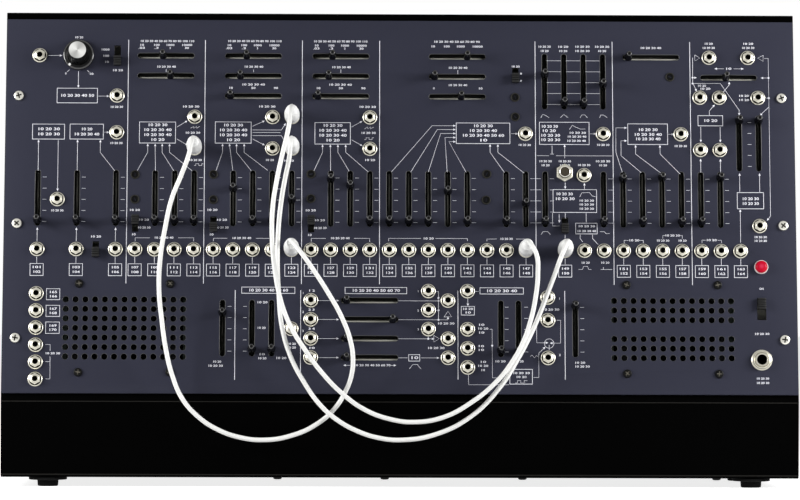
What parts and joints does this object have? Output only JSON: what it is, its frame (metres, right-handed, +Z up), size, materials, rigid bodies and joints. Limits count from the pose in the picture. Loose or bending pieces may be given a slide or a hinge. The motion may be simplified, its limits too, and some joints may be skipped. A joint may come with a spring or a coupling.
{
  "type": "semi-modular synthesizer",
  "caption": "Desktop semi-modular synthesizer: black steel case, leaning slate panel of slide pots, mini jacks and slide switches, small speakers and white patch cords.",
  "frame": {"origin": "on the ground, under the middle of the instrument's box measured without its patch cords", "axes": "+X to the player's right along the panel, +Y away from the player, +Z up"},
  "size_m": [0.52, 0.153, 0.311],
  "materials": {
    "case_black": "satin black powder coat",
    "cover_black": "satin black powder coat",
    "panel_slate": "fine matt slate blue paint with printed rules",
    "foot_rubber": "matt",
    "speaker_black": "matt cone and frame",
    "board_green": "solder resist",
    "lamp_red": "clear red lens",
    "phones_nickel": "bright nickel",
    "slider_black": "satin",
    "switch_black": "satin, ribbed",
    "power_switch_black": "satin",
    "knob_black": "satin black with a brushed metal top",
    "button_chrome": "polished",
    "cord_white": "soft white jacket",
    "plug_white": "satin white"
  },
  "bodies": {
    "case": {"case_shell": "case_black", "rear_cover": "cover_black", "front_panel": "panel_slate", "foot_front_left": "foot_rubber", "foot_front_right": "foot_rubber", "foot_rear_left": "foot_rubber", "foot_rear_right": "foot_rubber", "left_speaker": "speaker_black", "right_speaker": "speaker_black", "control_board": "board_green", "power_lamp": "lamp_red", "phones_jack": "phones_nickel", "patch_cord_1": "cord_white", "patch_cord_1_start_plug": "plug_white", "patch_cord_1_end_plug": "plug_white", "patch_cord_2": "cord_white", "patch_cord_2_start_plug": "plug_white", "patch_cord_2_end_plug": "plug_white", "patch_cord_3": "cord_white", "patch_cord_3_start_plug": "plug_white", "patch_cord_3_end_plug": "plug_white"},
    "oscillator_1_pitch_slider": {"oscillator_1_pitch_slider": "slider_black"},
    "oscillator_1_fine_slider": {"oscillator_1_fine_slider": "slider_black"},
    "oscillator_2_pitch_slider": {"oscillator_2_pitch_slider": "slider_black"},
    "oscillator_2_fine_slider": {"oscillator_2_fine_slider": "slider_black"},
    "oscillator_2_width_slider": {"oscillator_2_width_slider": "slider_black"},
    "oscillator_3_pitch_slider": {"oscillator_3_pitch_slider": "slider_black"},
    "oscillator_3_fine_slider": {"oscillator_3_fine_slider": "slider_black"},
    "oscillator_3_width_slider": {"oscillator_3_width_slider": "slider_black"},
    "filter_pitch_slider": {"filter_pitch_slider": "slider_black"},
    "filter_fine_slider": {"filter_fine_slider": "slider_black"},
    "filter_resonance_slider": {"filter_resonance_slider": "slider_black"},
    "amplifier_gain_slider": {"amplifier_gain_slider": "slider_black"},
    "pan_slider": {"pan_slider": "slider_black"},
    "reverb_left_slider": {"reverb_left_slider": "slider_black"},
    "reverb_right_slider": {"reverb_right_slider": "slider_black"},
    "attack_slider": {"attack_slider": "slider_black"},
    "decay_slider": {"decay_slider": "slider_black"},
    "sustain_slider": {"sustain_slider": "slider_black"},
    "release_slider": {"release_slider": "slider_black"},
    "left_speaker_slider": {"left_speaker_slider": "slider_black"},
    "noise_colour_slider": {"noise_colour_slider": "slider_black"},
    "noise_level_slider": {"noise_level_slider": "slider_black"},
    "sample_level_slider": {"sample_level_slider": "slider_black"},
    "sample_rate_slider": {"sample_rate_slider": "slider_black"},
    "right_speaker_slider": {"right_speaker_slider": "slider_black"},
    "mixer_1_slider": {"mixer_1_slider": "slider_black"},
    "mixer_2_slider": {"mixer_2_slider": "slider_black"},
    "mixer_3_slider": {"mixer_3_slider": "slider_black"},
    "mixer_4_slider": {"mixer_4_slider": "slider_black"},
    "range_switch": {"range_switch": "switch_black"},
    "oscillator_1_switch": {"oscillator_1_switch": "switch_black"},
    "oscillator_2_switch": {"oscillator_2_switch": "switch_black"},
    "oscillator_3_switch": {"oscillator_3_switch": "switch_black"},
    "ring_modulator_switch": {"ring_modulator_switch": "switch_black"},
    "filter_type_switch": {"filter_type_switch": "switch_black"},
    "gate_switch": {"gate_switch": "switch_black"},
    "power_switch": {"power_switch": "power_switch_black"},
    "gain_knob": {"gain_knob": "knob_black"},
    "manual_start_button": {"manual_start_button": "button_chrome"}
  },
  "joints": [
    {"name": "oscillator_1_pitch_travel", "type": "slide", "parent": "case", "child": "oscillator_1_pitch_slider", "axis": [1, 0, 0], "range_m": [-0.013, 0.017]},
    {"name": "oscillator_1_fine_travel", "type": "slide", "parent": "case", "child": "oscillator_1_fine_slider", "axis": [1, 0, 0], "range_m": [-0.018, 0.012]},
    {"name": "oscillator_2_pitch_travel", "type": "slide", "parent": "case", "child": "oscillator_2_pitch_slider", "axis": [1, 0, 0], "range_m": [-0.0105, 0.0195]},
    {"name": "oscillator_2_fine_travel", "type": "slide", "parent": "case", "child": "oscillator_2_fine_slider", "axis": [1, 0, 0], "range_m": [-0.0065, 0.0235]},
    {"name": "oscillator_2_width_travel", "type": "slide", "parent": "case", "child": "oscillator_2_width_slider", "axis": [1, 0, 0], "range_m": [0, 0.03]},
    {"name": "oscillator_3_pitch_travel", "type": "slide", "parent": "case", "child": "oscillator_3_pitch_slider", "axis": [1, 0, 0], "range_m": [-0.0095, 0.0205]},
    {"name": "oscillator_3_fine_travel", "type": "slide", "parent": "case", "child": "oscillator_3_fine_slider", "axis": [1, 0, 0], "range_m": [-0.007, 0.023]},
    {"name": "oscillator_3_width_travel", "type": "slide", "parent": "case", "child": "oscillator_3_width_slider", "axis": [1, 0, 0], "range_m": [0, 0.03]},
    {"name": "filter_pitch_travel", "type": "slide", "parent": "case", "child": "filter_pitch_slider", "axis": [1, 0, 0], "range_m": [-0.0215, 0.0085]},
    {"name": "filter_fine_travel", "type": "slide", "parent": "case", "child": "filter_fine_slider", "axis": [1, 0, 0], "range_m": [0, 0.03]},
    {"name": "filter_resonance_travel", "type": "slide", "parent": "case", "child": "filter_resonance_slider", "axis": [1, 0, 0], "range_m": [-0.0175, 0.0125]},
    {"name": "amplifier_gain_travel", "type": "slide", "parent": "case", "child": "amplifier_gain_slider", "axis": [1, 0, 0], "range_m": [0, 0.03]},
    {"name": "pan_travel", "type": "slide", "parent": "case", "child": "pan_slider", "axis": [1, 0, 0], "range_m": [-0.013, 0.017]},
    {"name": "reverb_left_travel", "type": "slide", "parent": "case", "child": "reverb_left_slider", "axis": [0, 0.1736, 0.9848], "range_m": [-0.03, 0]},
    {"name": "reverb_right_travel", "type": "slide", "parent": "case", "child": "reverb_right_slider", "axis": [0, 0.1736, 0.9848], "range_m": [-0.03, 0]},
    {"name": "attack_travel", "type": "slide", "parent": "case", "child": "attack_slider", "axis": [0, 0.1736, 0.9848], "range_m": [-0.0195, 0.0105]},
    {"name": "decay_travel", "type": "slide", "parent": "case", "child": "decay_slider", "axis": [0, 0.1736, 0.9848], "range_m": [-0.0005, 0.0295]},
    {"name": "sustain_travel", "type": "slide", "parent": "case", "child": "sustain_slider", "axis": [0, 0.1736, 0.9848], "range_m": [0, 0.03]},
    {"name": "release_travel", "type": "slide", "parent": "case", "child": "release_slider", "axis": [0, 0.1736, 0.9848], "range_m": [-0.013, 0.017]},
    {"name": "left_speaker_travel", "type": "slide", "parent": "case", "child": "left_speaker_slider", "axis": [0, 0.1736, 0.9848], "range_m": [-0.025, 0.005]},
    {"name": "noise_colour_travel", "type": "slide", "parent": "case", "child": "noise_colour_slider", "axis": [0, 0.1736, 0.9848], "range_m": [-0.001, 0.029]},
    {"name": "noise_level_travel", "type": "slide", "parent": "case", "child": "noise_level_slider", "axis": [0, 0.1736, 0.9848], "range_m": [-0.001, 0.029]},
    {"name": "sample_level_travel", "type": "slide", "parent": "case", "child": "sample_level_slider", "axis": [0, 0.1736, 0.9848], "range_m": [-0.0005, 0.0295]},
    {"name": "sample_rate_travel", "type": "slide", "parent": "case", "child": "sample_rate_slider", "axis": [0, 0.1736, 0.9848], "range_m": [0, 0.03]},
    {"name": "right_speaker_travel", "type": "slide", "parent": "case", "child": "right_speaker_slider", "axis": [0, 0.1736, 0.9848], "range_m": [-0.03, 0]},
    {"name": "mixer_1_travel", "type": "slide", "parent": "case", "child": "mixer_1_slider", "axis": [1, 0, 0], "range_m": [0, 0.03]},
    {"name": "mixer_2_travel", "type": "slide", "parent": "case", "child": "mixer_2_slider", "axis": [1, 0, 0], "range_m": [-0.03, 0]},
    {"name": "mixer_3_travel", "type": "slide", "parent": "case", "child": "mixer_3_slider", "axis": [1, 0, 0], "range_m": [0, 0.03]},
    {"name": "mixer_4_travel", "type": "slide", "parent": "case", "child": "mixer_4_slider", "axis": [1, 0, 0], "range_m": [0, 0.03]},
    {"name": "range_switch_throw", "type": "slide", "parent": "case", "child": "range_switch", "axis": [0, 0.1736, 0.9848], "range_m": [0, 0.008]},
    {"name": "oscillator_1_switch_throw", "type": "slide", "parent": "case", "child": "oscillator_1_switch", "axis": [0, 0.1736, 0.9848], "range_m": [-0.0048, 0]},
    {"name": "oscillator_2_switch_throw", "type": "slide", "parent": "case", "child": "oscillator_2_switch", "axis": [0, 0.1736, 0.9848], "range_m": [0, 0.0048]},
    {"name": "oscillator_3_switch_throw", "type": "slide", "parent": "case", "child": "oscillator_3_switch", "axis": [0, 0.1736, 0.9848], "range_m": [-0.0048, 0]},
    {"name": "ring_modulator_switch_throw", "type": "slide", "parent": "case", "child": "ring_modulator_switch", "axis": [0, 0.1736, 0.9848], "range_m": [0, 0.0048]},
    {"name": "filter_type_switch_throw", "type": "slide", "parent": "case", "child": "filter_type_switch", "axis": [0, 0.1736, 0.9848], "range_m": [0, 0.0048]},
    {"name": "gate_switch_throw", "type": "slide", "parent": "case", "child": "gate_switch", "axis": [0, 0.1736, 0.9848], "range_m": [0, 0.0048]},
    {"name": "power_switch_throw", "type": "slide", "parent": "case", "child": "power_switch", "axis": [0, 0.1736, 0.9848], "range_m": [-0.0066, 0]},
    {"name": "gain_knob_turn", "type": "hinge", "parent": "case", "child": "gain_knob", "pos_m": [-0.2122, -0.02038, 0.2826], "axis": [0, 0.9848, -0.1736], "range_deg": [0, 300]},
    {"name": "manual_start_press", "type": "slide", "parent": "case", "child": "manual_start_button", "axis": [0, 0.9848, -0.1736], "range_m": [0, 0.002], "stiffness_N_per_m": 300, "springref_m": -0.001}
  ]
}
